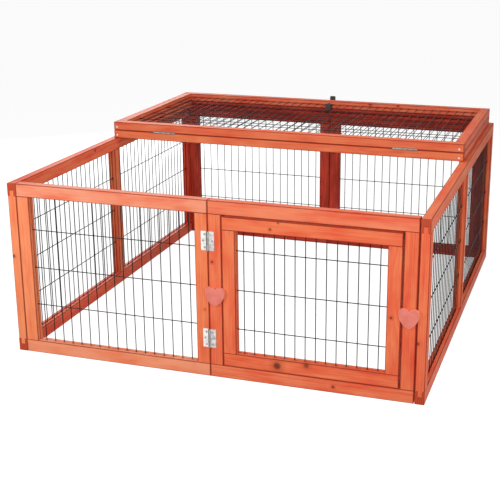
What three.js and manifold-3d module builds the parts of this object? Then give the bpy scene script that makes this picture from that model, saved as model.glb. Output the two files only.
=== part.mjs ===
// Outdoor rabbit run: four sides of grooved pine boards round welded mesh, a lift-out
// door held by two heart turn-buttons, and a mesh cover in two hinged halves, the front
// half folded back on the rear one. Millimetres, +Z up, front towards -Y.

import * as THREE from 'three';
import { mergeVertices } from 'three/addons/utils/BufferGeometryUtils.js';
import Module from 'manifold-3d';

const wasm = await Module();
wasm.setup();

// ---- driving dimensions ----

// the whole run
const RUN_WIDTH = 1090;
const RUN_DEPTH = 1160;
const PANEL_HEIGHT = 460;

// boards
const BOARD_THICKNESS = 24;
const BOARD_WIDTH = 34;
const COVER_BOARD_WIDTH = 29;
const EDGE_EASE = 1.2;

// corner joints: a tenon on each stile in an open slot in each rail
const TENON_THICKNESS = 10;
const TENON_LENGTH = 17;

// welded mesh, its wires let into a saw groove in the boards
const WIRE = 2;
const WELD_SINK = 0.4;
const UPRIGHT_PITCH = 26;
const COVER_WIRE_PITCH = 70;
const CROSS_PITCH = 102;
const CROSS_RISE = 5;
const GROOVE_DEPTH = 8;

// clearances
const FIT = 0.3;
const CORNER_GAP = 0.6;
const SEAM_GAP = 1;
const GATE_CORNER_GAP = 2.2;
const DOOR_SIDE_GAP = 1.2;
const DOOR_LATCH_GAP = 3.6;
const DOOR_TOP_GAP = 3.6;

// front and back: two panels side by side
const LEFT_PANEL_WIDTH = 522;

// side panels: a narrower middle stile stands a little nearer to one end, and the two
// panels are turned end for end to each other
const MIDDLE_STILE_WIDTH = 29;
const MIDDLE_STILE_OFFSET = 8;

// cover: two equal halves that lie on the panels, set in from their outer faces
const COVER_INSET = 14;
const COVER_FOLD_GAP = 0.8;

// butt hinges
const KNUCKLE_RADIUS = 3;
const PIN_RADIUS = 1.4;
const PIN_CLEARANCE = 0.3;
const LEAF_THICKNESS = 1.3;
const FRONT_HINGE_LENGTH = 49;
const FRONT_LEAF_WIDTH = 17;
const FRONT_HINGE_INSETS = [104, 102];
const COVER_HINGE_LENGTH = 70;
const COVER_LEAF_WIDTH = 20;
const COVER_HINGE_INSET = 165;

// heart turn-buttons
const HEART_WIDTH = 50;
const HEART_HEIGHT = 50;
const HEART_THICKNESS = 8;
const HEART_BEVEL = 2;
const HEART_TIP_HEIGHT = 191;
const HEART_PIVOT_RISE = 14;
const SCREW_RADIUS = 2;
const SCREW_HEAD_RADIUS = 4;
const SCREW_DEPTH = 16;

// cover latch: a hook on a bolt through the cover's free rail, with a knob inside
const LATCH_RISE = 8;
const LATCH_BOLT_RADIUS = 3;
const LATCH_BOSS_RADIUS = 7;
const LATCH_HOOK_REACH = 26;
const LATCH_HOOK_WIDTH = 18;
const LATCH_HOOK_THICKNESS = 5;
const LATCH_KNOB_RADIUS = 10.5;
const LATCH_KNOB_LENGTH = 12;
const LATCH_KNOB_FLUTES = 8;

// ---- finishes ----

const PINE = { color: 0xd9643a, roughness: 0.55, metalness: 0 };
const MESH_WIRE = { color: 0x24262a, roughness: 0.5, metalness: 0.3 };
const ZINC = { color: 0xb9bec4, roughness: 0.38, metalness: 0.9 };
const HEART_PAINT = { color: 0xe8796b, roughness: 0.5, metalness: 0 };
const BLACK_PLASTIC = { color: 0x17181a, roughness: 0.45, metalness: 0 };

// ---- solids ----

function toSolid(geometry) {
  const bare = geometry.clone();
  bare.deleteAttribute('normal');
  bare.deleteAttribute('uv');
  const merged = mergeVertices(bare, 1e-4);
  const mesh = new wasm.Mesh({
    numProp: 3,
    vertProperties: new Float32Array(merged.attributes.position.array),
    triVerts: new Uint32Array(merged.index.array),
  });
  return new wasm.Manifold(mesh);
}

function toGeometry(solid) {
  const mesh = solid.getMesh();
  const geometry = new THREE.BufferGeometry();
  geometry.setAttribute('position', new THREE.BufferAttribute(new Float32Array(mesh.vertProperties), 3));
  geometry.setIndex(new THREE.BufferAttribute(new Uint32Array(mesh.triVerts), 1));
  geometry.computeVertexNormals();
  return geometry;
}

// the local X, Y and Z of an outline drawn in XY and extruded along each axis
const AXIS_BASIS = {
  x: new THREE.Matrix4().makeBasis(vector(0, 1, 0), vector(0, 0, 1), vector(1, 0, 0)),
  y: new THREE.Matrix4().makeBasis(vector(0, 0, 1), vector(1, 0, 0), vector(0, 1, 0)),
  z: new THREE.Matrix4(),
};

function vector(x, y, z) {
  return new THREE.Vector3(x, y, z);
}

// extrudes an outline from start to end along an axis; the outline's own two axes are
// y and z for an x extrusion, z and x for y, and x and y for z
function extrude(outline, axis, start, end, options = {}) {
  const geometry = new THREE.ExtrudeGeometry(outline, { depth: end - start, bevelEnabled: false, ...options });
  geometry.translate(0, 0, start);
  geometry.applyMatrix4(AXIS_BASIS[axis]);
  return toSolid(geometry);
}

function block(x, y, z) {
  const geometry = new THREE.BoxGeometry(x[1] - x[0], y[1] - y[0], z[1] - z[0]);
  geometry.translate((x[0] + x[1]) / 2, (y[0] + y[1]) / 2, (z[0] + z[1]) / 2);
  return toSolid(geometry);
}

function rod(axis, centre, radius, start, end, sides = 16) {
  const outline = new THREE.Shape();
  for (let i = 0; i < sides; i += 1) {
    const angle = (2 * Math.PI * i) / sides;
    const point = [centre[0] + radius * Math.cos(angle), centre[1] + radius * Math.sin(angle)];
    if (i === 0) outline.moveTo(...point);
    else outline.lineTo(...point);
  }
  outline.closePath();
  return extrude(outline, axis, start, end);
}

// a board with its four long edges eased
function board(axis, x, y, z) {
  const sides = { x: [y, z], z: [x, y] }[axis];
  const [[a0, a1], [b0, b1]] = sides;
  const ease = EDGE_EASE;
  const outline = new THREE.Shape();
  outline.moveTo(a0 + ease, b0);
  outline.lineTo(a1 - ease, b0);
  outline.lineTo(a1, b0 + ease);
  outline.lineTo(a1, b1 - ease);
  outline.lineTo(a1 - ease, b1);
  outline.lineTo(a0 + ease, b1);
  outline.lineTo(a0, b1 - ease);
  outline.lineTo(a0, b0 + ease);
  outline.closePath();
  const along = axis === 'x' ? x : z;
  return extrude(outline, axis, along[0], along[1]);
}

// ---- welded mesh ----

// one three-sided wire; its flat side lies at `flat` and its ridge points along Y to `ridge`
function meshWire(axis, at, flat, ridge, start, end) {
  const half = WIRE / 2;
  const outline = new THREE.Shape();
  const points = axis === 'z'
    ? [[at - half, flat], [at + half, flat], [at, ridge]]
    : [[flat, at - half], [ridge, at], [flat, at + half]];
  outline.moveTo(...points[0]);
  outline.lineTo(...points[1]);
  outline.lineTo(...points[2]);
  outline.closePath();
  return extrude(outline, axis, start, end);
}

// uprights in front, cross wires behind, welded where their ridges cross
function weldedMesh(uprights, crosses, x, z, middle) {
  const front = middle - WIRE;
  const back = middle + WIRE;
  const sink = WELD_SINK / 2;
  let solid = null;
  for (const at of crosses) {
    const wire = meshWire('x', at, back, middle - sink, x[0], x[1]);
    solid = solid ? solid.add(wire) : wire;
  }
  for (const at of uprights) {
    solid = solid.add(meshWire('z', at, front, middle + sink, z[0], z[1]));
  }
  return solid;
}

// the most wires at this pitch that leave half a pitch clear at each end, centred
function spaced(start, end, pitch, even = false) {
  let count = Math.floor((end - start) / pitch);
  if (even) count -= count % 2;
  const first = (start + end) / 2 - ((count - 1) * pitch) / 2;
  return Array.from({ length: count }, (_, i) => first + i * pitch);
}

// ---- one framed panel ----

// Local frame: X along the rails, Z up the stiles, front face at y = 0. The rails run the
// full width and the stiles stand between them on stub tenons; stileSpans are the stiles'
// two edges, from left to right. Returns solids: bottomRail, topRail, stiles and mesh.
function framedPanel({ width, height, boardWidth = BOARD_WIDTH, stileSpans = endStiles(width, boardWidth),
  wirePitch = UPRIGHT_PITCH, even = false, crossRise = CROSS_RISE, meshed = true }) {
  const thickness = BOARD_THICKNESS;
  const middle = thickness / 2;
  const tenonY = [middle - TENON_THICKNESS / 2, middle + TENON_THICKNESS / 2];
  const slotY = [tenonY[0] - FIT, tenonY[1] + FIT];
  const grooveHalf = WIRE + FIT;
  const grooveY = [middle - grooveHalf, middle + grooveHalf];
  const past = 1;
  const bays = stileSpans.slice(1).map(([start], i) => [stileSpans[i][1], start]);
  const crosses = meshed ? crossHeights(boardWidth, height - boardWidth, crossRise) : [];

  function rail(z0, inner, outward) {
    let solid = board('x', [0, width], [0, thickness], [z0, z0 + boardWidth]);
    const depthRange = (depth) => [inner + outward * depth, inner - outward * past].sort((a, b) => a - b);
    stileSpans.forEach(([start, end], i) => {
      const from = i === 0 ? start - past : start - FIT;
      const to = i === stileSpans.length - 1 ? end + past : end + FIT;
      solid = solid.subtract(block([from, to], slotY, depthRange(TENON_LENGTH)));
    });
    if (meshed) {
      for (const bay of bays) solid = solid.subtract(block(bay, grooveY, depthRange(GROOVE_DEPTH)));
    }
    return solid;
  }

  function stile(x, index) {
    const foot = boardWidth - TENON_LENGTH + FIT;
    const shoulder = boardWidth + FIT;
    let solid = board('z', x, [0, thickness], [foot, height - foot]);
    for (const z of [[foot - past, shoulder], [height - shoulder, height - foot + past]]) {
      solid = solid.subtract(block([x[0] - past, x[1] + past], [-past, tenonY[0]], z));
      solid = solid.subtract(block([x[0] - past, x[1] + past], [tenonY[1], thickness + past], z));
    }
    if (!meshed) return solid;
    const body = [shoulder, height - shoulder];
    const first = index === 0;
    const last = index === stileSpans.length - 1;
    if (!last) solid = solid.subtract(block([x[1] - GROOVE_DEPTH, x[1] + past], grooveY, body));
    if (!first) solid = solid.subtract(block([x[0] - past, x[0] + GROOVE_DEPTH], grooveY, body));
    if (first || last) return solid;
    for (const at of crosses) {
      const z = [at - WIRE / 2 - FIT, at + WIRE / 2 + FIT];
      solid = solid.subtract(block([x[0] - past, x[1] + past], grooveY, z));
    }
    return solid;
  }

  const reach = GROOVE_DEPTH - FIT;
  const uprights = bays.flatMap(([from, to]) => spaced(from, to, wirePitch, even));
  const opening = [stileSpans[0][1], stileSpans[stileSpans.length - 1][0]];
  return {
    bottomRail: rail(0, boardWidth, -1),
    topRail: rail(height - boardWidth, height - boardWidth, 1),
    stiles: stileSpans.map(stile),
    mesh: meshed ? weldedMesh(
      uprights, crosses, [opening[0] - reach, opening[1] + reach],
      [boardWidth - reach, height - boardWidth + reach], middle,
    ) : null,
  };
}

// a stile at each end of a panel
function endStiles(width, boardWidth) {
  return [[0, boardWidth], [width - boardWidth, width]];
}

// cross wires between two boards, their middle this much above the middle of the gap
function crossHeights(from, to, rise) {
  const count = Math.floor((to - from) / CROSS_PITCH);
  const first = (from + to) / 2 + rise - ((count - 1) * CROSS_PITCH) / 2;
  return Array.from({ length: count }, (_, i) => first + i * CROSS_PITCH);
}

// ---- putting nodes in the scene ----

const run = new THREE.Group();

function place(group, name, solid, finish) {
  const mesh = new THREE.Mesh(toGeometry(solid), new THREE.MeshStandardMaterial(finish));
  mesh.name = name;
  group.add(mesh);
}

function placePanel(group, prefix, panel, stileNames, railNames = ['bottom_rail', 'top_rail']) {
  place(group, `${prefix}_${railNames[0]}`, panel.bottomRail, PINE);
  place(group, `${prefix}_${railNames[1]}`, panel.topRail, PINE);
  panel.stiles.forEach((stile, i) => place(group, `${prefix}_${stileNames[i]}`, stile, PINE));
  if (panel.mesh) place(group, `${prefix}_mesh`, panel.mesh, MESH_WIRE);
}

function groupAt(x, y, z) {
  const group = new THREE.Group();
  group.position.set(x, y, z);
  run.add(group);
  return group;
}

// ---- side panels ----

const halfWidth = RUN_WIDTH / 2;
const halfDepth = RUN_DEPTH / 2;

function sidePanel(prefix, x, y, turn, stileNames) {
  const [nearStile, farStile] = endStiles(RUN_DEPTH, BOARD_WIDTH);
  const middle = halfDepth - MIDDLE_STILE_OFFSET;
  const middleStile = [middle - MIDDLE_STILE_WIDTH / 2, middle + MIDDLE_STILE_WIDTH / 2];
  const panel = framedPanel({
    width: RUN_DEPTH,
    height: PANEL_HEIGHT,
    stileSpans: [nearStile, middleStile, farStile],
  });
  const group = groupAt(x, y, 0);
  group.rotation.z = turn;
  placePanel(group, prefix, panel, stileNames);
}

const insideLeft = -halfWidth + BOARD_THICKNESS;
const insideRight = halfWidth - BOARD_THICKNESS;
const frontToRear = ['front_stile', 'middle_stile', 'rear_stile'];
const rearToFront = frontToRear.toReversed();
sidePanel('left_side', insideLeft, -halfDepth, Math.PI / 2, frontToRear);
sidePanel('right_side', insideRight, halfDepth, -Math.PI / 2, rearToFront);

// ---- front and back panels ----

const leftPanelX = insideLeft + CORNER_GAP;
const seamX = leftPanelX + LEFT_PANEL_WIDTH + SEAM_GAP / 2;
const gateX = seamX + SEAM_GAP / 2;
const gateWidth = insideRight - GATE_CORNER_GAP - gateX;
const backRightX = insideRight - CORNER_GAP - LEFT_PANEL_WIDTH;
const backLeftWidth = backRightX - SEAM_GAP - leftPanelX;

function plainPanel(prefix, x, y, width) {
  const panel = framedPanel({ width, height: PANEL_HEIGHT });
  placePanel(groupAt(x, y, 0), prefix, panel, ['left_stile', 'right_stile']);
}

plainPanel('front_left', leftPanelX, -halfDepth, LEFT_PANEL_WIDTH);
plainPanel('back_left', leftPanelX, halfDepth - BOARD_THICKNESS, backLeftWidth);
plainPanel('back_right', backRightX, halfDepth - BOARD_THICKNESS, LEFT_PANEL_WIDTH);

// the door's frame, with a screw hole in each stile for its turn-button
const heartPivotZ = HEART_TIP_HEIGHT + HEART_PIVOT_RISE;
const heartPivots = {
  left: gateX + BOARD_WIDTH / 2,
  right: gateX + gateWidth - BOARD_WIDTH / 2,
};

const doorFrame = framedPanel({ width: gateWidth, height: PANEL_HEIGHT, meshed: false });
doorFrame.stiles = doorFrame.stiles.map((stile, i) => {
  const x = [heartPivots.left, heartPivots.right][i] - gateX;
  return stile.subtract(rod('y', [heartPivotZ, x], SCREW_RADIUS + FIT, -1, SCREW_DEPTH + FIT));
});
placePanel(groupAt(gateX, -halfDepth, 0), 'front_right', doorFrame, ['left_stile', 'right_stile']);

// ---- door ----

const doorWidth = gateWidth - 2 * BOARD_WIDTH - DOOR_SIDE_GAP - DOOR_LATCH_GAP;
const doorHeight = PANEL_HEIGHT - 2 * BOARD_WIDTH - FIT - DOOR_TOP_GAP;
const door = framedPanel({ width: doorWidth, height: doorHeight });
placePanel(
  groupAt(gateX + BOARD_WIDTH + DOOR_SIDE_GAP, -halfDepth, BOARD_WIDTH + FIT),
  'door', door, ['left_stile', 'right_stile'],
);

// ---- heart turn-buttons and their screws ----

// tip at the origin, drawn in z and x as a y extrusion takes them
function heartOutline(inset) {
  const w = HEART_WIDTH / 2 - inset;
  const tip = 1.2 * inset;
  const top = HEART_HEIGHT - inset;
  const dip = HEART_HEIGHT * 0.88 - inset;
  const shoulder = HEART_HEIGHT * 0.72;
  const belly = HEART_HEIGHT * 0.42;
  const brow = HEART_HEIGHT * 0.9;
  const outline = new THREE.Shape();
  outline.moveTo(tip, 0);
  outline.bezierCurveTo(tip + HEART_HEIGHT * 0.06, w * 0.5, belly, w, shoulder, w);
  outline.bezierCurveTo(brow, w, top, w * 0.84, top, w * 0.54);
  outline.bezierCurveTo(top, w * 0.26, dip + HEART_HEIGHT * 0.06, w * 0.06, dip, 0);
  outline.bezierCurveTo(dip + HEART_HEIGHT * 0.06, -w * 0.06, top, -w * 0.26, top, -w * 0.54);
  outline.bezierCurveTo(top, -w * 0.84, brow, -w, shoulder, -w);
  outline.bezierCurveTo(belly, -w, tip + HEART_HEIGHT * 0.06, -w * 0.5, tip, 0);
  return outline;
}

function heart() {
  const curveSegments = 7;
  const body = extrude(heartOutline(HEART_BEVEL), 'y', -HEART_THICKNESS - FIT + HEART_BEVEL, -FIT - HEART_BEVEL, {
    curveSegments,
    bevelEnabled: true,
    bevelThickness: HEART_BEVEL,
    bevelSize: HEART_BEVEL,
    bevelSegments: 1,
  });
  const seat = [HEART_PIVOT_RISE, 0];
  const headFloor = -HEART_THICKNESS - FIT + HEART_BEVEL;
  return body
    .subtract(rod('y', seat, SCREW_RADIUS + FIT, -HEART_THICKNESS - 1, 1))
    .subtract(rod('y', seat, SCREW_HEAD_RADIUS + FIT, -HEART_THICKNESS - 1, headFloor));
}

function heartScrew() {
  const seat = [HEART_PIVOT_RISE, 0];
  const headTop = -HEART_THICKNESS - FIT;
  const headFloor = headTop + HEART_BEVEL - FIT;
  return rod('y', seat, SCREW_HEAD_RADIUS, headTop, headFloor)
    .add(rod('y', seat, SCREW_RADIUS, headTop + FIT, SCREW_DEPTH, 12));
}

for (const [side, x] of Object.entries(heartPivots)) {
  const group = groupAt(x, -halfDepth, HEART_TIP_HEIGHT);
  place(group, `heart_button_${side}`, heart(), HEART_PAINT);
  place(group, `heart_screw_${side}`, heartScrew(), ZINC);
}

// ---- butt hinges ----

// Local frame: pin along X through the origin. Each leaf is a plate from its own side of
// the pin, its seated side at z = face, with outer knuckles and the pin on one leaf and the
// middle knuckle on the other.
function hingeLeaf({ length, leafWidth, face, side, carriesPin }) {
  const third = length / 3;
  const half = length / 2;
  const spans = carriesPin
    ? [[-half, -half + third - FIT], [half - third + FIT, half]]
    : [[-half + third, half - third]];
  const y = [side * FIT * 2, side * leafWidth].sort((a, b) => a - b);
  const z = [face, face - Math.sign(face) * LEAF_THICKNESS].sort((a, b) => a - b);
  let solid = block([-half, half], y, z);
  const gaps = carriesPin ? [[-half + third - FIT, half - third + FIT]]
    : [[-half - 1, -half + third], [half - third, half + 1]];
  const clear = KNUCKLE_RADIUS + FIT;
  for (const gap of gaps) solid = solid.subtract(rod('x', [0, 0], clear, gap[0], gap[1]));
  for (const span of spans) solid = solid.add(rod('x', [0, 0], KNUCKLE_RADIUS, span[0], span[1]));
  if (carriesPin) return solid.add(rod('x', [0, 0], PIN_RADIUS, -half, half, 12));
  return solid.subtract(rod('x', [0, 0], PIN_RADIUS + PIN_CLEARANCE, -half - 1, half + 1, 12));
}

// front hinges: flat on the panels' front faces across the seam, pin upright
const frontHingeHeights = [FRONT_HINGE_INSETS[0], PANEL_HEIGHT - FRONT_HINGE_INSETS[1]];
frontHingeHeights.forEach((height, i) => {
  const name = `front_hinge_${['lower', 'upper'][i]}`;
  const group = groupAt(seamX, -halfDepth - FIT - KNUCKLE_RADIUS, height);
  group.rotation.y = -Math.PI / 2;
  const leaf = { length: FRONT_HINGE_LENGTH, leafWidth: FRONT_LEAF_WIDTH };
  const turned = new THREE.Group();
  turned.rotation.x = -Math.PI / 2;
  group.add(turned);
  const face = KNUCKLE_RADIUS;
  place(turned, `${name}_leaf_left`, hingeLeaf({ ...leaf, face, side: -1, carriesPin: true }), ZINC);
  place(turned, `${name}_leaf_right`, hingeLeaf({ ...leaf, face, side: 1, carriesPin: false }), ZINC);
});

// ---- cover ----

const coverWidth = RUN_WIDTH - 2 * COVER_INSET;
const coverLength = (RUN_DEPTH - 2 * COVER_INSET - SEAM_GAP) / 2;
const coverHingeY = 0;
const coverEdgeY = coverHingeY + SEAM_GAP / 2;
const rearTopZ = PANEL_HEIGHT + FIT + BOARD_THICKNESS;
const coverHingeZ = rearTopZ + COVER_FOLD_GAP / 2;
const flapTopZ = rearTopZ + COVER_FOLD_GAP + BOARD_THICKNESS;
const coverHingeX = coverWidth / 2 - COVER_HINGE_INSET;
const coverHinges = [-coverHingeX, coverHingeX];

function coverHalf() {
  return framedPanel({
    width: coverWidth,
    height: coverLength,
    boardWidth: COVER_BOARD_WIDTH,
    wirePitch: COVER_WIRE_PITCH,
    even: true,
    crossRise: 0,
  });
}

// recess for a leaf, and a round seat for the knuckle, in the face at y = faceY
function cutHingeGains(rail, faceY, inward) {
  let solid = rail;
  const half = COVER_HINGE_LENGTH / 2 + FIT;
  for (const x of coverHinges) {
    const at = x + coverWidth / 2;
    const y = [faceY - inward, faceY + inward * (LEAF_THICKNESS + FIT)].sort((a, b) => a - b);
    solid = solid.subtract(block([at - half, at + half], y, [-1, COVER_LEAF_WIDTH + SEAM_GAP]));
    const pin = [faceY - inward * COVER_FOLD_GAP / 2, -SEAM_GAP / 2];
    solid = solid.subtract(rod('x', pin, KNUCKLE_RADIUS + 2 * FIT, at - half, at + half));
  }
  return solid;
}

function coverGroup(topZ) {
  const group = groupAt(-coverWidth / 2, coverEdgeY, topZ);
  group.rotation.x = -Math.PI / 2;
  return group;
}

const coverNames = ['left_rail', 'right_rail'];
const rearHalf = coverHalf();
rearHalf.bottomRail = cutHingeGains(rearHalf.bottomRail, 0, 1);
placePanel(coverGroup(rearTopZ), 'cover_rear', rearHalf, coverNames, ['hinge_rail', 'back_rail']);

const latchY = BOARD_THICKNESS - LATCH_RISE;
const flapHalf = coverHalf();
flapHalf.bottomRail = cutHingeGains(flapHalf.bottomRail, BOARD_THICKNESS, -1);
flapHalf.topRail = flapHalf.topRail.subtract(
  rod('z', [coverWidth / 2, latchY], LATCH_BOLT_RADIUS + FIT, 0, coverLength + 1),
);
placePanel(coverGroup(flapTopZ), 'cover_flap', flapHalf, coverNames, ['hinge_rail', 'free_rail']);

// cover hinges: leaves let into the two top faces, pins along the fold
coverHinges.forEach((x, i) => {
  const name = `cover_hinge_${['left', 'right'][i]}`;
  const group = groupAt(x, coverHingeY, coverHingeZ);
  const leaf = { length: COVER_HINGE_LENGTH, leafWidth: COVER_LEAF_WIDTH, side: 1 };
  const face = COVER_FOLD_GAP / 2 + LEAF_THICKNESS;
  place(group, `${name}_leaf_rear`, hingeLeaf({ ...leaf, face: -face, carriesPin: true }), ZINC);
  place(group, `${name}_leaf_flap`, hingeLeaf({ ...leaf, face, carriesPin: false }), ZINC);
});

// ---- cover latch ----

const latchZ = flapTopZ - latchY;
const railBackY = coverEdgeY + coverLength;
const railInnerY = railBackY - COVER_BOARD_WIDTH;
const hookY = halfDepth + FIT;
const latch = groupAt(0, 0, latchZ);

function latchHook() {
  const half = LATCH_HOOK_WIDTH / 2;
  const outline = new THREE.Shape();
  outline.moveTo(0, -half);
  outline.lineTo(LATCH_HOOK_REACH - 2, -half);
  outline.lineTo(LATCH_HOOK_REACH, -half + 2);
  outline.lineTo(LATCH_HOOK_REACH, half - 2);
  outline.lineTo(LATCH_HOOK_REACH - 2, half);
  outline.lineTo(0, half);
  outline.absarc(0, 0, half, Math.PI / 2, (3 * Math.PI) / 2, false);
  return extrude(outline, 'y', hookY, hookY + LATCH_HOOK_THICKNESS, { curveSegments: 8 })
    .add(rod('y', [0, 0], LATCH_BOSS_RADIUS, railBackY + FIT, hookY + LATCH_HOOK_THICKNESS / 2))
    .add(rod('y', [0, 0], LATCH_BOLT_RADIUS, railInnerY - LATCH_KNOB_LENGTH / 2, hookY, 12));
}

function latchKnob() {
  const outline = new THREE.Shape();
  const steps = LATCH_KNOB_FLUTES * 4;
  for (let i = 0; i < steps; i += 1) {
    const angle = (2 * Math.PI * i) / steps;
    const radius = LATCH_KNOB_RADIUS - 0.6 + 0.6 * Math.cos(LATCH_KNOB_FLUTES * angle);
    const point = [radius * Math.cos(angle), radius * Math.sin(angle)];
    if (i === 0) outline.moveTo(...point);
    else outline.lineTo(...point);
  }
  outline.closePath();
  const start = railInnerY - FIT - LATCH_KNOB_LENGTH;
  const boreFloor = railInnerY - LATCH_KNOB_LENGTH / 2 - FIT;
  return extrude(outline, 'y', start, railInnerY - FIT)
    .subtract(rod('y', [0, 0], LATCH_BOLT_RADIUS + FIT, boreFloor, railInnerY + 1, 12));
}

place(latch, 'cover_latch_hook', latchHook(), BLACK_PLASTIC);
place(latch, 'cover_latch_knob', latchKnob(), BLACK_PLASTIC);

// the origin is under the middle of the whole run, hearts and latch included
const heartsProud = HEART_THICKNESS + FIT;
const latchProud = LATCH_HOOK_THICKNESS + FIT;
run.position.y = (heartsProud - latchProud) / 2;

export default run;
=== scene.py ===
import math
import random

import bpy
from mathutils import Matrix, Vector


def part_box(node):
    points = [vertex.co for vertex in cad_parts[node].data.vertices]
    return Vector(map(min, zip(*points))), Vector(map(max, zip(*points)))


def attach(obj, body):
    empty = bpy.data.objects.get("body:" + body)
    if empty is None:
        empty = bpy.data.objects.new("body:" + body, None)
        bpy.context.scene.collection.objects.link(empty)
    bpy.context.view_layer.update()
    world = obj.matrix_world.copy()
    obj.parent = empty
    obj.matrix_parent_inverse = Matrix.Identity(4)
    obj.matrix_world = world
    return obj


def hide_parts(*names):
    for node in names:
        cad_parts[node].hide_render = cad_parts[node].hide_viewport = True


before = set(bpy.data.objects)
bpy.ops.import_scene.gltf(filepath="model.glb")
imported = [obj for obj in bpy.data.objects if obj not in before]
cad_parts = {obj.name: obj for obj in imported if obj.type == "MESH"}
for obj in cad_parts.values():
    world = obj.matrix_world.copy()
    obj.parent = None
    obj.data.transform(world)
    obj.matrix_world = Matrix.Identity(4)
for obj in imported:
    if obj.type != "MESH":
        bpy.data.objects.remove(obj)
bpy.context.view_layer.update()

# The studio. A white floor under a white sky, two soft lamps close to the front of the run,
# others above, to the right and behind it, and the camera a little to the right and above.
scene = bpy.context.scene
scene.view_settings.view_transform = "Standard"


def srgb(code):
    """the linear colour of a hex code, with full alpha"""
    channels = [int(code[i:i + 2], 16) / 255 for i in (1, 3, 5)]
    return [c / 12.92 if c <= 0.04045 else ((c + 0.055) / 1.055) ** 2.4 for c in channels] + [1.0]


def add(tree, kind, settings=None, inputs=None):
    """a shader node, with settings of its own and a value or a link on each input"""
    node = tree.nodes.new("ShaderNode" + kind)
    for name, value in (settings or {}).items():
        setattr(node, name, value)
    for name, value in (inputs or {}).items():
        if isinstance(value, bpy.types.NodeSocket):
            tree.links.new(value, node.inputs[name])
        else:
            node.inputs[name].default_value = value
    return node


def number(tree, operation, a, b=0.0, c=0.0):
    """the result of a Math node; c counts only where the operation takes three values"""
    return add(tree, "Math", {"operation": operation}, {0: a, 1: b, 2: c}).outputs[0]


def seen_plainly(tree):
    """1 for rays from the camera and through gloss or glass, which show the white studio"""
    path = add(tree, "LightPath").outputs
    either = number(tree, "MAXIMUM", path["Is Camera Ray"], path["Is Glossy Ray"])
    return number(tree, "MAXIMUM", either, path["Is Transmission Ray"])


def new_material(name):
    """a material and its node tree, emptied"""
    material = bpy.data.materials.new(name)
    material.use_nodes = True
    material.node_tree.nodes.clear()
    return material, material.node_tree


def primitive(operator, **shape):
    """a new mesh with its place in the mesh, so that its object sits at the origin"""
    bpy.ops.object.select_all(action="DESELECT")
    operator(**shape)
    bpy.ops.object.transform_apply(location=True, rotation=True, scale=True)
    return bpy.context.object


world = bpy.data.worlds.new("studio_sky")
scene.world = world
world.use_nodes = True
sky = world.node_tree
sky.nodes.clear()
# the sky lights the run only faintly, but is seen plain white
fill = add(sky, "Background", {}, {"Color": srgb("#FFFFFF"), "Strength": 0.09})
white = add(sky, "Background", {}, {"Color": srgb("#FFFFFF"), "Strength": 1.0})
either_sky = add(sky, "MixShader", {},
                 {0: seen_plainly(sky), 1: fill.outputs[0], 2: white.outputs[0]})
add(sky, "OutputWorld", {}, {"Surface": either_sky.outputs[0]})

# name, place, the point it faces, side in metres, watts
for name, place, aim, size, power in (
    ("lamp_front_left", (-0.78, -1.62, 0.80), (-0.36, -0.58, 0.25), 0.8, 11.0),
    ("lamp_front_right", (0.80, -1.60, 0.80), (0.32, -0.58, 0.25), 0.8, 8.8),
    ("lamp_above", (0.15, -0.15, 1.75), (0.0, -0.10, 0.30), 1.0, 12.0),
    ("lamp_right", (2.30, -0.60, 0.75), (0.50, 0.0, 0.25), 0.8, 9.0),
    ("lamp_behind", (-1.50, 1.90, 0.80), (-0.25, 0.35, 0.25), 1.0, 22.0),
):
    lamp = bpy.data.lights.new(name, "AREA")
    lamp.size = size
    lamp.energy = power
    lamp_object = bpy.data.objects.new(name, lamp)
    lamp_object.location = place
    facing = (Vector(aim) - Vector(place)).to_track_quat("-Z", "Y")
    lamp_object.rotation_euler = facing.to_euler()
    lamp_object.visible_camera = False
    scene.collection.objects.link(lamp_object)

# the floor lies half a millimetre below the run, so that the two never share a face
floor = primitive(bpy.ops.mesh.primitive_plane_add, size=60, location=(0, 0, -0.0005))
floor.name = "floor"
paper, tree = new_material("white_paper_floor")
# it throws light back as matt grey paper does, but is seen white, with a trace of shadow
matt = add(tree, "BsdfDiffuse", {}, {"Color": srgb("#D2D2D0")})
dim = add(tree, "BsdfDiffuse", {}, {"Color": srgb("#989898")})
glow = add(tree, "Emission", {}, {"Color": srgb("#FFFFFF"), "Strength": 0.93})
shown = add(tree, "AddShader", {}, {0: dim.outputs[0], 1: glow.outputs[0]})
either_floor = add(tree, "MixShader", {},
                   {0: seen_plainly(tree), 1: matt.outputs[0], 2: shown.outputs[0]})
add(tree, "OutputMaterial", {}, {"Surface": either_floor.outputs[0]})
floor.data.materials.append(paper)

camera_data = bpy.data.cameras.new("camera")
camera_data.lens = 74.89
camera_data.sensor_width = 36
camera_data.shift_x = -0.0755
camera_data.shift_y = -0.0539
camera_data.clip_end = 200
camera = bpy.data.objects.new("camera", camera_data)
camera.location = (0.9089, -2.8100, 1.1263)
looking_down, turned_left = 0.2927, 0.3053  # radians
camera.rotation_euler = (math.pi / 2 - looking_down, 0, turned_left)
scene.collection.objects.link(camera)
scene.camera = camera

# The boards. Planed pine of 24 mm, slotted and tenoned at the corners and glued, then
# dipped in an orange glaze. Each board is its own piece of timber, with its own growth
# rings, streaks and knots, and takes the glaze a little lighter or redder than the next.
GRAIN = {"x": (0, 1, 2), "y": (1, 2, 0), "z": (2, 0, 1)}
RING = 0.0042  # a year's growth
WANDER = 0.022  # how far the rings wander to and fro
KNOT_CELL = 0.125  # one small knot, at most, in a cell of this size


def ramp(tree, value, low, high, start=0.0, end=1.0):
    """goes smoothly from start to end while the value goes from low to high"""
    node = add(tree, "MapRange", {"interpolation_type": "SMOOTHSTEP"},
               {"Value": value, "From Min": low, "From Max": high, "To Min": start, "To Max": end})
    return node.outputs["Result"]


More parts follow.
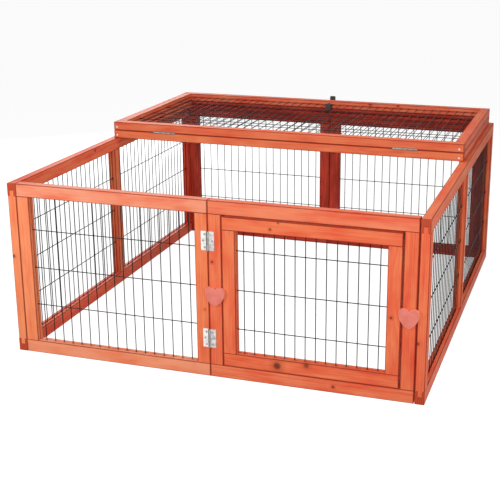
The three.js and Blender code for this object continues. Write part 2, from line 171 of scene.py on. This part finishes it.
def blend(tree, factor, a, b):
    """colour a where the factor is 0, colour b where it is 1"""
    return add(tree, "Mix", {"data_type": "RGBA"}, {0: factor, 6: a, 7: b}).outputs[2]


def shade(tree, inputs):
    """ends a material in a principled shader with these inputs"""
    surface = add(tree, "BsdfPrincipled", {}, inputs)
    add(tree, "OutputMaterial", {}, {"Surface": surface.outputs[0]})


def random_shift(chance):
    """a far-off place in a noise, so that no two boards look alike"""
    return [chance.uniform(0, 90) for _ in range(3)]


def streaks(tree, timber, chance, length, width, detail=2.0):
    """a noise whose features measure this length and width in metres"""
    stretched = add(tree, "Mapping", {}, {
        "Vector": timber, "Location": random_shift(chance),
        "Scale": (1 / length, 1 / width, 1 / width)})
    return add(tree, "TexNoise", {}, {
        "Vector": stretched.outputs[0], "Scale": 1.0, "Detail": detail, "Roughness": 0.55}).outputs


def growth_rings(tree, across, through, wander, chance):
    """1 in the latewood and 0 elsewhere, in rings round a pith that lies outside the board"""
    angle = chance.uniform(0, 2 * math.pi)
    pith = (chance.uniform(0.02, 0.06) * math.cos(angle),
            chance.uniform(0.02, 0.06) * math.sin(angle))
    wavers = add(tree, "SeparateColor", {}, {0: wander}).outputs
    offsets = []
    for side, waver, middle in ((across, wavers[0], pith[0]), (through, wavers[1], pith[1])):
        moved = number(tree, "MULTIPLY_ADD", waver, WANDER, -WANDER / 2 - middle)
        offsets.append(number(tree, "ADD", side, moved))
    flat = add(tree, "CombineXYZ", {}, {0: offsets[0], 1: offsets[1]}).outputs[0]
    radius = add(tree, "VectorMath", {"operation": "LENGTH"}, {0: flat}).outputs["Value"]
    year = number(tree, "FRACT", number(tree, "DIVIDE", radius, RING))
    rising = ramp(tree, year, 0.35, 0.9)
    falling = ramp(tree, year, 0.93, 1.0, 1.0, 0.0)
    return number(tree, "MULTIPLY", rising, falling)


def knotted(tree, colour, timber, local, centre, chance, knots):
    """the colour with a few small knots of the board's own, and those the eye picks out"""
    cells = add(tree, "Mapping", {}, {
        "Vector": timber, "Location": random_shift(chance), "Scale": [1 / KNOT_CELL] * 3})
    small = add(tree, "TexVoronoi", {"feature": "F1"}, {"Vector": cells.outputs[0], "Scale": 1.0})
    distance = number(tree, "MULTIPLY", small.outputs["Distance"], KNOT_CELL)
    dark = ramp(tree, distance, 0.0022, 0.0042, 0.75, 0.0)
    halo = ramp(tree, distance, 0.004, 0.010, 0.30, 0.0)
    for place, millimetres, strength in knots:
        size = millimetres / 1000
        gap = add(tree, "VectorMath", {"operation": "DISTANCE"},
                  {0: local, 1: Vector(place) / 1000 - centre}).outputs["Value"]
        core = ramp(tree, gap, 0.35 * size, size, strength, 0.0)
        ring = ramp(tree, gap, 0.8 * size, 2.2 * size, 0.45 * strength, 0.0)
        dark = number(tree, "MAXIMUM", dark, core)
        halo = number(tree, "MAXIMUM", halo, ring)
    colour = blend(tree, halo, colour, srgb("#B03F22"))
    return blend(tree, dark, colour, srgb("#5A2113"))


def edge_distance(tree, local, half):
    """how far a point of the board's skin lies from the nearest edge: the middle one of its
    distances from the three pairs of faces, since the smallest is nothing"""
    inwards = add(tree, "VectorMath", {"operation": "ABSOLUTE"}, {0: local}).outputs[0]
    inwards = add(tree, "VectorMath", {"operation": "SUBTRACT"}, {0: half, 1: inwards}).outputs[0]
    a, b, c = add(tree, "SeparateXYZ", {}, {0: inwards}).outputs
    upper = number(tree, "MINIMUM", number(tree, "MAXIMUM", a, b), c)
    return number(tree, "MAXIMUM", number(tree, "MINIMUM", a, b), upper)


def glazed_pine(board, grain, tone, pale, knots):
    """Pine under a thin orange glaze, planed: the eye sees long streaks of the rings, yellower
    where the wood is soft and redder where it is hard, dark red-brown knots and a low sheen."""
    low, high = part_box(board)
    centre = (low + high) / 2
    chance = random.Random(board)
    material, tree = new_material("glazed_pine_" + board)
    where = add(tree, "TexCoord").outputs
    local = add(tree, "Mapping", {}, {"Vector": where["Object"], "Location": -centre}).outputs[0]
    axes = add(tree, "SeparateXYZ", {}, {0: local}).outputs
    along, across, through = (axes[i] for i in GRAIN[grain])
    timber = add(tree, "CombineXYZ", {}, {0: along, 1: across, 2: through}).outputs[0]

    wander = streaks(tree, timber, chance, 0.28, 0.12, 1.0)["Color"]
    latewood = growth_rings(tree, across, through, wander, chance)
    streak = streaks(tree, timber, chance, 0.16, 0.0045, 3.0)["Fac"]
    blotch = streaks(tree, timber, chance, 0.11, 0.030)["Fac"]
    fibre = streaks(tree, timber, chance, 0.03, 0.0011, 1.0)["Fac"]

    redness = number(tree, "MULTIPLY_ADD", streak, 0.80, 0.05 + tone)
    redness = number(tree, "ADD", redness, number(tree, "SUBTRACT", blotch, 0.5))
    redness = number(tree, "MULTIPLY_ADD", latewood, 0.16, redness)
    colour = blend(tree, redness, srgb("#F9925C"), srgb("#E2412A"))
    colour = blend(tree, ramp(tree, redness, 1.0, 1.6), colour, srgb("#A02616"))
    colour = blend(tree, ramp(tree, fibre, 0.3, 0.75, 0.0, 0.12), colour, srgb("#B5432A"))
    # some boards are paler and pinker in patches
    pale_patches = number(tree, "MULTIPLY", ramp(tree, blotch, 0.35, 0.7, 1.0, 0.35), pale)
    colour = blend(tree, pale_patches, colour, srgb("#F3AC90"))
    colour = knotted(tree, colour, timber, local, centre, chance, knots)
    # the glaze lies thicker and darker along the eased edges and where boards meet, and the
    # darkening there also paints the shade that falls in the seams and grooves
    pooled_glaze_and_shade = ramp(tree, edge_distance(tree, local, (high - low) / 2), 0.0006, 0.0030, 0.85, 0.0)
    colour = blend(tree, pooled_glaze_and_shade, colour, srgb("#8C1402"))
    # end grain drinks more glaze: darker and redder, with the rings as arcs
    facing = add(tree, "SeparateXYZ", {}, {0: where["Normal"]}).outputs[grain.upper()]
    end = ramp(tree, number(tree, "ABSOLUTE", facing), 0.75, 0.95)
    end_colour = blend(tree, latewood, srgb("#C9502F"), srgb("#98351F"))
    colour = blend(tree, end, colour, end_colour)

    hard_lines = number(tree, "MULTIPLY", latewood, 0.4)
    height = number(tree, "MULTIPLY_ADD", fibre, 0.6, hard_lines)
    bump = add(tree, "Bump", {}, {"Height": height, "Strength": 0.35, "Distance": 0.0004})
    shade(tree, {
        "Base Color": colour, "Roughness": ramp(tree, streak, 0.2, 0.8, 0.54, 0.66),
        "Normal": bump.outputs[0], "IOR": 1.5, "Metallic": 0.0, "Specular IOR Level": 0.18})
    return material


# knots seen in the photograph: place in mm, radius in mm, how dark
KNOTS = {
    "door_bottom_rail": [((177.8, -578.5, 51.5), 13.0, 0.85), ((253, -578.5, 63), 9.5, 0.65)],
    "front_left_right_stile": [((-9.0, -578.5, 178.0), 4.5, 0.35)],
    "front_right_left_stile": [((12.1, -578.5, 304.6), 4.5, 0.8)],
    "left_side_front_stile": [((-540.6, -578.5, 264), 4.5, 0.95)],
    "door_right_stile": [((458.6, -578.5, 212.4), 4.5, 0.8)],
    "right_side_front_stile": [((524.4, -578.5, 155.2), 4.5, 0.8)],
    "front_right_bottom_rail": [((320.8, -578.5, 15.6), 5.0, 0.8)],
    "door_top_rail": [((161.5, -578.5, 401), 4.0, 0.8), ((181.5, -578.5, 419), 3.0, 0.7)],
    "left_side_top_rail": [((-521, -145, 452), 5.0, 0.85)],
    "back_right_left_stile": [((12, 557.5, 330), 8.0, 0.7)],
    "cover_flap_free_rail": [((141, 540, 506), 6.0, 0.85), ((235, 540, 506), 5.5, 0.8)],
}
# how pale and pink in patches a board looks, where that is more than a trace
TRACE = 0.05
PALE = {
    "front_left_top_rail": 0.55, "front_left_bottom_rail": 0.45, "front_left_left_stile": 0.15,
    "left_side_front_stile": 0.15, "front_right_bottom_rail": 0.12,
    "cover_flap_hinge_rail": 0.08, "front_right_top_rail": 0.20, "cover_flap_free_rail": 0.20,
}
# how much redder than plain glaze a board is seen to be, or yellower below 0
TONES = {
    "left_side_front_stile": -0.38, "front_left_left_stile": -0.32,
    "front_left_bottom_rail": -0.28, "front_left_top_rail": -0.05,
    "front_left_right_stile": -0.12, "front_right_left_stile": 0.02,
    "front_right_top_rail": 0.06, "door_left_stile": 0.0, "door_right_stile": 0.06,
    "door_top_rail": 0.05, "door_bottom_rail": 0.02, "front_right_right_stile": 0.10,
    "front_right_bottom_rail": 0.05, "right_side_front_stile": 0.08,
    "cover_rear_hinge_rail": -0.05, "cover_flap_hinge_rail": 0.0, "cover_flap_left_rail": 0.08,
    "cover_flap_right_rail": 0.05, "cover_rear_left_rail": 0.10, "cover_rear_right_rail": 0.10,
    "left_side_middle_stile": -0.05, "left_side_top_rail": 0.10, "right_side_top_rail": 0.02,
    "right_side_bottom_rail": 0.10, "right_side_middle_stile": 0.02,
    # cover_rear_back_rail and left_side_rear_stile are made redder and darker partly as painted
    # shade
    "right_side_rear_stile": 0.05, "cover_rear_back_rail": 0.95, "cover_flap_free_rail": 0.15,
    "left_side_rear_stile": 0.55,
}


def tone_of(name):
    """the tone seen, or for other boards a chance one, deeper low down and at the rear, partly as
    painted shade
    """
    if name in TONES:
        return TONES[name]
    # back boards much deeper, rear stiles and bottom rails a little: partly the glaze, partly
    # painted shade
    if name.startswith("back_"):
        deeper_and_shaded = 0.80
    elif name.endswith(("rear_stile", "bottom_rail")):
        deeper_and_shaded = 0.25
    else:
        deeper_and_shaded = 0.0
    return random.Random(name + "tone").uniform(0.02, 0.18) + deeper_and_shaded


def grain_of(name):
    """the axis along which a board's fibres run"""
    if name.endswith("_stile"):
        return "z"
    if name.startswith(("left_side", "right_side")):
        return "y"
    if name.startswith("cover_") and name.endswith(("_left_rail", "_right_rail")):
        return "y"
    return "x"


for name, node in sorted(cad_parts.items()):
    if name.endswith(("_rail", "_stile")):
        node.material_slots[0].material = glazed_pine(
            name, grain_of(name), tone_of(name), PALE.get(name, TRACE), KNOTS.get(name, ()))

# The welded mesh. Straight wires, 26 mm apart with cross wires every 102 mm, fused where they
# cross and enamelled black: 2.4 mm in the panels and 1.9 mm in the cover. The sheets sit in
# saw grooves in the boards' edges.
X, Y, Z = 0, 1, 2
PANEL_WIRE = 0.0024
COVER_WIRE = 0.0019
PITCH = 0.026
CROSS_PITCH = 0.102
PRESSED = 0.86  # the uprights' distance from the sheet's middle, in radii
SPOT = 0.62  # a fused spot's radius, in thicknesses of wire
CROSS_RISE = 0.005  # of a panel's cross wires above the middle of their opening


def noise(tree, place, scale):
    """a noise with this many features to the metre"""
    settings = {"Vector": place, "Scale": scale, "Detail": 2.0}
    return add(tree, "TexNoise", {}, settings).outputs["Fac"]


def black_wire():
    """Black enamel baked on steel wire: nearly black with a low sheen, a little grey in patches
    where the coat is thin."""
    material, tree = new_material("black_enamelled_wire")
    # the coat varies over about 12 mm
    patches = noise(tree, add(tree, "TexCoord").outputs["Object"], 85.0)
    shade(tree, {
        "Base Color": blend(tree, ramp(tree, patches, 0.35, 0.7), srgb("#0C0D0E"), srgb("#161718")),
        "Roughness": ramp(tree, patches, 0.3, 0.7, 0.52, 0.42),
        "Metallic": 0.0, "Specular IOR Level": 0.12})
    return material


wire_material = black_wire()


def only(*chosen):
    """selects these pieces and no others, and makes the first one active"""
    bpy.ops.object.select_all(action="DESELECT")
    for piece in chosen:
        piece.select_set(True)
    bpy.context.view_layer.objects.active = chosen[0]


def settle(piece, name):
    """puts a piece's place into its mesh, so that its object sits at the origin"""
    only(piece)
    bpy.ops.object.transform_apply(location=True, rotation=True, scale=True)
    piece.name = name
    piece.data.name = name
    return piece


def modify(piece, kind, **settings):
    """puts one modifier on a piece and applies it"""
    only(piece)
    modifier = piece.modifiers.new(kind.lower(), kind)
    for name, value in settings.items():
        setattr(modifier, name, value)
    bpy.ops.object.modifier_apply(modifier=modifier.name)


def on_axes(axes, values):
    """a point or a step from its values along some of the axes, 0 along the rest"""
    place = [0.0, 0.0, 0.0]
    for axis, value in zip(axes, values):
        place[axis] = value
    return place


def repeat(piece, axis, pitch, count):
    """makes a piece into an even row of itself along an axis"""
    modify(piece, "ARRAY", use_relative_offset=False, use_constant_offset=True,
           constant_offset_displace=on_axes((axis,), (pitch,)), count=count)


def row_of_wires(thickness, axes, span, first, pitch, count, level):
    """wires that span a length along the first axis, in a row along the second, at a level of
    the third"""
    along, across, _ = axes
    turn = {X: (0, math.pi / 2, 0), Y: (math.pi / 2, 0, 0), Z: (0, 0, 0)}[along]
    wire = primitive(bpy.ops.mesh.primitive_cylinder_add, vertices=10, radius=thickness / 2,
                     depth=span[1] - span[0], rotation=turn,
                     location=on_axes(axes, (sum(span) / 2, first, level)))
    bpy.ops.object.shade_smooth_by_angle(angle=math.radians(40))
    repeat(wire, across, pitch, count)
    return wire


def fused_spots(thickness, axes, starts, pitches, counts, level):
    """a grid of small lumps of weld, one where each upright crosses a cross wire"""
    spot = primitive(bpy.ops.mesh.primitive_ico_sphere_add, subdivisions=1,
                     radius=thickness * SPOT, location=on_axes(axes, (*starts, level)))
    for axis, pitch, count in zip(axes, pitches, counts):
        repeat(spot, axis, pitch, count)
    return spot


def spread(start, end, pitch, fewer=0, rise=0.0):
    """the first place and the count of a row centred between two boards, then moved by the
    rise, with some wires fewer than would fit"""
    count = int((end - start) / pitch) - fewer
    return (start + end) / 2 - (count - 1) * pitch / 2 + rise, count


def welded_net(node, body, thickness, axes, upper, bays, opening, fewer=0, rise=CROSS_RISE):
    """one sheet: uprights run along the first axis and stand in rows along the second, the
    cross wires lie behind them; upper tells on which side of the sheet the uprights are"""
    along, across, level_axis = axes
    low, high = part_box(node)
    middle = (low[level_axis] + high[level_axis]) / 2
    offset = upper * thickness / 2
    cross_first, cross_count = spread(*opening, CROSS_PITCH, rise=rise)
    rows = [row_of_wires(thickness, (across, along, level_axis), (low[across], high[across]),
                         cross_first, CROSS_PITCH, cross_count, middle - offset)]
    for start, end in bays:
        first, count = spread(start, end, PITCH, fewer)
        rows.append(row_of_wires(thickness, axes, (low[along], high[along]),
                                 first, PITCH, count, middle + offset * PRESSED))
        rows.append(fused_spots(thickness, axes, (cross_first, first), (CROSS_PITCH, PITCH),
                                (cross_count, count), middle))
    only(*rows)
    bpy.ops.object.join()
    net = settle(rows[0], node.replace("_mesh", "_welded_net"))
    net.data.materials.clear()
    net.data.materials.append(wire_material)
    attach(net, body)
    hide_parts(node)


def between(first, second, axis):
    """the clear space between two boards along an axis"""
    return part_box(first)[1][axis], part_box(second)[0][axis]


for side, inwards in (("left_side", 1), ("right_side", -1)):
    front, middle, rear = (f"{side}_{place}_stile" for place in ("front", "middle", "rear"))
    welded_net(f"{side}_mesh", "root", PANEL_WIRE, (Z, Y, X), inwards,
               [between(front, middle, Y), between(middle, rear, Y)],
               between(f"{side}_bottom_rail", f"{side}_top_rail", Z))
for panel, body in (
    ("front_left", "root"), ("back_left", "root"), ("back_right", "root"), ("door", "door"),
):
    welded_net(f"{panel}_mesh", body, PANEL_WIRE, (Z, X, Y), -1,
               [between(f"{panel}_left_stile", f"{panel}_right_stile", X)],
               between(f"{panel}_bottom_rail", f"{panel}_top_rail", Z))
# the two sheets of the cover were cut from the roll half a cell apart
for half, body, far, fewer, rise in (
    ("cover_rear", "root", "back_rail", 1, -CROSS_PITCH / 2),
    ("cover_flap", "cover_flap", "free_rail", 0, 0.0),
):
    welded_net(f"{half}_mesh", body, COVER_WIRE, (Y, X, Z), 1,
               [between(f"{half}_left_rail", f"{half}_right_rail", X)],
               between(f"{half}_hinge_rail", f"{half}_{far}", Y), fewer, rise)

# The hinges. Pressed steel butt hinges, zinc plated bright; the front pair is screwed flat
# on the seam between the two front panels, with three small cross-head screws a leaf.
FACING_FRONT = (math.pi / 2, 0, 0)
LEAF_THICKNESS = 0.0013
# each screw's distance from the leaf's outer edge, and its height above the leaf's middle
LEAF_SCREWS = ((0.0090, -0.0165), (0.0055, 0.0), (0.0090, 0.0165))


def zinc_plate(name, light, dark, pin=None):
    """Bright zinc plating on pressed steel: pale grey, faintly streaked by rolling and cloudy,
    with painted shade along the barrel; pin is the x of an upright barrel."""
    material, tree = new_material(name)
    place = add(tree, "TexCoord").outputs["Object"]
    # rolling lines of about 1 mm, 8 mm long
    rolled = add(tree, "Mapping", {}, {"Vector": place, "Scale": (900, 900, 120)}).outputs[0]
    lines = noise(tree, rolled, 1.0)
    # clouds of about 6 mm
    cloud = noise(tree, place, 170.0)
    colour = blend(tree, ramp(tree, cloud, 0.35, 0.65), srgb(light), srgb(dark))
    if pin is not None:
        across = add(tree, "SeparateXYZ", {}, {0: place}).outputs["X"]
        away = number(tree, "ABSOLUTE", number(tree, "SUBTRACT", across, pin))
        # painted shade at the barrel's foot, then a painted dark line for the barrel's shadow side
        colour = blend(tree, ramp(tree, away, 0.0026, 0.0036, 0.40, 0.0), colour, srgb("#85888A"))
        colour = blend(tree, ramp(tree, away, 0.0008, 0.0021, 0.9, 0.0), colour, srgb("#3B3D3F"))
    bump = add(tree, "Bump", {}, {"Height": lines, "Strength": 0.15, "Distance": 0.0001})
    shade(tree, {
        "Base Color": colour, "Roughness": ramp(tree, lines, 0.3, 0.7, 0.36, 0.50),
        "Metallic": 0.45, "Normal": bump.outputs[0]})
    return material


# the cover's hinge leaves: the same plating, painted darker for the shade between the cover's
# halves
zinc = zinc_plate("zinc_plated_steel", "#989591", "#72706E")
screw_zinc = zinc_plate("zinc_plated_screw", "#BDBFC0", "#A2A4A5")
pin_steel = zinc_plate("bright_steel_pin", "#F4F3F0", "#E4E3E0")
left_leaf, right_leaf = (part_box(f"front_hinge_upper_leaf_{side}") for side in ("left", "right"))
seam = (left_leaf[0].x + right_leaf[1].x) / 2
# one plating, painted lighter on the left leaf and darker on the right for the light that falls on
# each
lit_leaf_zinc = zinc_plate("zinc_plated_leaf_painted_lit", "#F0EDEA", "#D8D5D2", pin=seam)
shaded_leaf_zinc = zinc_plate("zinc_plated_leaf_painted_shaded", "#DDD8D5", "#B9B5B3", pin=seam)
for name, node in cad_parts.items():
    if name.endswith("_leaf_left"):
        node.material_slots[0].material = lit_leaf_zinc
    elif name.endswith("_leaf_right"):
        node.material_slots[0].material = shaded_leaf_zinc
    elif "_leaf_" in name:
        node.material_slots[0].material = zinc


def cross_head(radius, proud, turn):
    """a raised countersunk head at the origin, its face towards -Y, with a sunk cross"""
    head = primitive(bpy.ops.mesh.primitive_cylinder_add, vertices=20, radius=radius,
                     depth=proud, location=(0, -proud / 2, 0), rotation=FACING_FRONT)
    modify(head, "BEVEL", width=proud * 0.6, segments=2, limit_method="ANGLE")
    # an arm of the cross: its length, how deep it is cut, its width
    arm_size = (radius * 1.25, proud * 1.3, radius * 0.26)
    arms = [primitive(bpy.ops.mesh.primitive_cube_add, size=1, location=(0, -proud, 0),
                      rotation=(0, angle, 0), scale=arm_size)
            for angle in (turn, turn + math.pi / 2)]
    for arm in arms:
        modify(head, "BOOLEAN", operation="DIFFERENCE", solver="EXACT", object=arm)
        bpy.data.objects.remove(arm)
    only(head)
    bpy.ops.object.shade_smooth_by_angle(angle=math.radians(35))
    return head


def place_copy(source, name, location, rotation, body, material):
    """a copy with a mesh of its own, put in its place and given its body, slot and material"""
    piece = source.copy()
    piece.data = source.data.copy()
    scene.collection.objects.link(piece)
    piece.location = location
    piece.rotation_euler = rotation
    settle(piece, name)
    piece.data.materials.clear()
    piece.data.materials.append(material)
    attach(piece, body)
    return piece


leaf_screw = cross_head(radius=0.0031, proud=0.0009, turn=0.5)
for height in ("lower", "upper"):
    for side, way in (("left", 1), ("right", -1)):
        low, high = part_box(f"front_hinge_{height}_leaf_{side}")
        outer = low.x if side == "left" else high.x
        face = high.y - LEAF_THICKNESS
        middle = (low.z + high.z) / 2
        for i, (inset, above) in enumerate(LEAF_SCREWS):
            place_copy(leaf_screw, f"front_hinge_{height}_{side}_screw_{i + 1}",
                       (outer + way * inset, face, middle + above), (0, 0, 0),
                       "root", screw_zinc)

# The cover's hinges. The same steel, let into the meeting faces of the two halves, so that
# only their edges and knuckles show while the front half lies folded on the rear one.
cover_screw = cross_head(radius=0.0033, proud=0.0003, turn=0.9)
# each screw's distance from the leaf's middle, and from its rear edge
COVER_SCREWS = ((-0.025, 0.006), (0.0, 0.010), (0.025, 0.006))
for side in ("left", "right"):
    for half, body, up, face in (
        ("rear", "root", 1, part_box("cover_rear_hinge_rail")[1].z),
        ("flap", "cover_flap", -1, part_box("cover_flap_hinge_rail")[0].z),
    ):
        low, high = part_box(f"cover_hinge_{side}_leaf_{half}")
        middle = (low.x + high.x) / 2
        for i, (shift, reach) in enumerate(COVER_SCREWS):
            place_copy(cover_screw, f"cover_hinge_{side}_{half}_screw_{i + 1}",
                       (middle + shift, high.y - reach, face), (-up * math.pi / 2, 0, 0),
                       body, screw_zinc)

# The brads. A bright steel pin driven through each corner joint of the cover's halves, in
# the edge of the cross rails, its head 0.4 mm proud of the glaze.
BRAD_INSET_LEFT = 0.0095
BRAD_INSET_RIGHT = 0.0130
BRAD_DROP = 0.003  # below the middle of the edge
brad = primitive(bpy.ops.mesh.primitive_cylinder_add, vertices=14, radius=0.0026, depth=0.0006,
                 location=(0, -0.0001, 0), rotation=FACING_FRONT)
bpy.ops.object.mode_set(mode="EDIT")
bpy.ops.mesh.select_all(action="SELECT")
bpy.ops.mesh.bevel(offset=0.0002, segments=1)
bpy.ops.object.mode_set(mode="OBJECT")
for half, body, front_rail, far_rail in (
    ("cover_rear", "root", "hinge_rail", "back_rail"),
    ("cover_flap", "cover_flap", "hinge_rail", "free_rail"),
):
    for rail, at_front in ((front_rail, True), (far_rail, False)):
        low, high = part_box(f"{half}_{rail}")
        face = low.y if at_front else high.y
        turn = 0 if at_front else math.pi
        level = (low.z + high.z) / 2 - BRAD_DROP
        for side, x in (("left", low.x + BRAD_INSET_LEFT), ("right", high.x - BRAD_INSET_RIGHT)):
            place_copy(brad, f"{half}_{rail}_brad_{side}", (x, face, level), (0, 0, turn),
                       body, pin_steel)

# The heart turn-buttons. Sawn from board of about 8.6 mm with all edges rounded over, painted
# a matt salmon pink with a faint orange-peel; the pivot screw's head is filled and painted over.
HEART_WIDTH = 0.0495
HEART_HEIGHT = 0.0485
HEART_THICKNESS = 0.0086
HEART_ROUNDING = 0.0036
HEART_RISE = 0.0015  # of the tip above that of the 50 mm heart in the solids


def heart_points(count):
    """the heart's outline from its tip at the origin, half by Bezier curves and half mirrored"""
    h = HEART_HEIGHT
    w = HEART_WIDTH / 2
    curves = [
        [(0, 0), (w * 0.5, h * 0.06), (w, h * 0.42), (w, h * 0.72)],
        [(w, h * 0.72), (w, h * 0.90), (w * 0.84, h), (w * 0.54, h)],
        [(w * 0.54, h), (w * 0.26, h), (w * 0.06, h * 0.94), (0, h * 0.88)],
    ]
    half = []
    for a, b, c, d in curves:
        for i in range(count):
            t = i / count
            s = 1 - t
            half.append(tuple(
                s**3 * a[k] + 3 * s * s * t * b[k] + 3 * s * t * t * c[k] + t**3 * d[k]
                for k in (0, 1)))
    half.append(curves[-1][-1])
    return half + [(-x, z) for x, z in reversed(half[1:-1])]


outline = heart_points(14)
heart = primitive(bpy.ops.mesh.primitive_circle_add, vertices=len(outline),
                  radius=HEART_WIDTH / 2, fill_type="NGON")
for vertex, (x, z) in zip(heart.data.vertices, outline):
    vertex.co = (x, 0, z)
bpy.ops.object.mode_set(mode="EDIT")
bpy.ops.mesh.select_all(action="SELECT")
bpy.ops.mesh.extrude_region_move(TRANSFORM_OT_translate={"value": (0, -HEART_THICKNESS, 0)})
bpy.ops.mesh.select_all(action="SELECT")
bpy.ops.mesh.normals_make_consistent(inside=False)
bpy.ops.object.mode_set(mode="OBJECT")
modify(heart, "BEVEL", width=HEART_ROUNDING, segments=5, limit_method="ANGLE",
       angle_limit=math.radians(50))
bpy.ops.object.shade_smooth_by_angle(angle=math.radians(35))


def heart_paint():
    """Matt salmon acrylic on smooth wood: an even colour with a fine stipple, and a painted
    highlight that makes the rounded rim paler."""
    material, tree = new_material("salmon_paint")
    where = add(tree, "TexCoord").outputs
    # roller stipple of about 1.5 mm, and clouds of about 18 mm
    stipple = noise(tree, where["Object"], 650.0)
    cloud = noise(tree, where["Object"], 55.0)
    colour = blend(tree, ramp(tree, cloud, 0.3, 0.7), srgb("#E98375"), srgb("#DF7767"))
    # painted highlight: the rounded rim, where it turns from the front, is made paler
    facing = add(tree, "SeparateXYZ", {}, {0: where["Normal"]}).outputs["Y"]
    rim_highlight = ramp(tree, number(tree, "ABSOLUTE", facing), 0.70, 0.99, 0.8, 0.0)
    colour = blend(tree, rim_highlight, colour, srgb("#FFAC94"))
    colour = blend(tree, ramp(tree, stipple, 0.4, 0.7, 0.0, 0.25), colour, srgb("#E37364"))
    bump = add(tree, "Bump", {}, {"Height": stipple, "Strength": 0.25, "Distance": 0.0003})
    shade(tree, {
        "Base Color": colour, "Roughness": 0.62, "Normal": bump.outputs[0],
        "Specular IOR Level": 0.35})
    return material


salmon = heart_paint()
for side in ("left", "right"):
    low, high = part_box(f"heart_button_{side}")
    button = place_copy(heart, f"heart_{side}",
                        ((low.x + high.x) / 2, high.y, low.z + HEART_RISE), (0, 0, 0),
                        f"heart_{side}", salmon)
    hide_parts(f"heart_button_{side}")
    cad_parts[f"heart_screw_{side}"].material_slots[0].material = screw_zinc


# The cover's latch. A hook and a fluted knob moulded in black plastic, on one bolt through
# the middle of the free rail.
def black_plastic():
    """Moulded black polyamide: near black, low gloss, with a fine spark-eroded grain."""
    material, tree = new_material("moulded_black_plastic")
    # eroded grain of about 0.8 mm
    grit = noise(tree, add(tree, "TexCoord").outputs["Object"], 1200.0)
    bump = add(tree, "Bump", {}, {"Height": grit, "Strength": 0.2, "Distance": 0.0002})
    shade(tree, {
        "Base Color": blend(tree, ramp(tree, grit, 0.3, 0.7), srgb("#1C1D1F"), srgb("#262829")),
        "Roughness": 0.45, "Normal": bump.outputs[0], "IOR": 1.53})
    return material


plastic = black_plastic()
for name in ("cover_latch_hook", "cover_latch_knob"):
    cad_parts[name].material_slots[0].material = plastic

# the patterns that the copies were made from
for pattern in (leaf_screw, cover_screw, brad, heart):
    bpy.data.objects.remove(pattern)
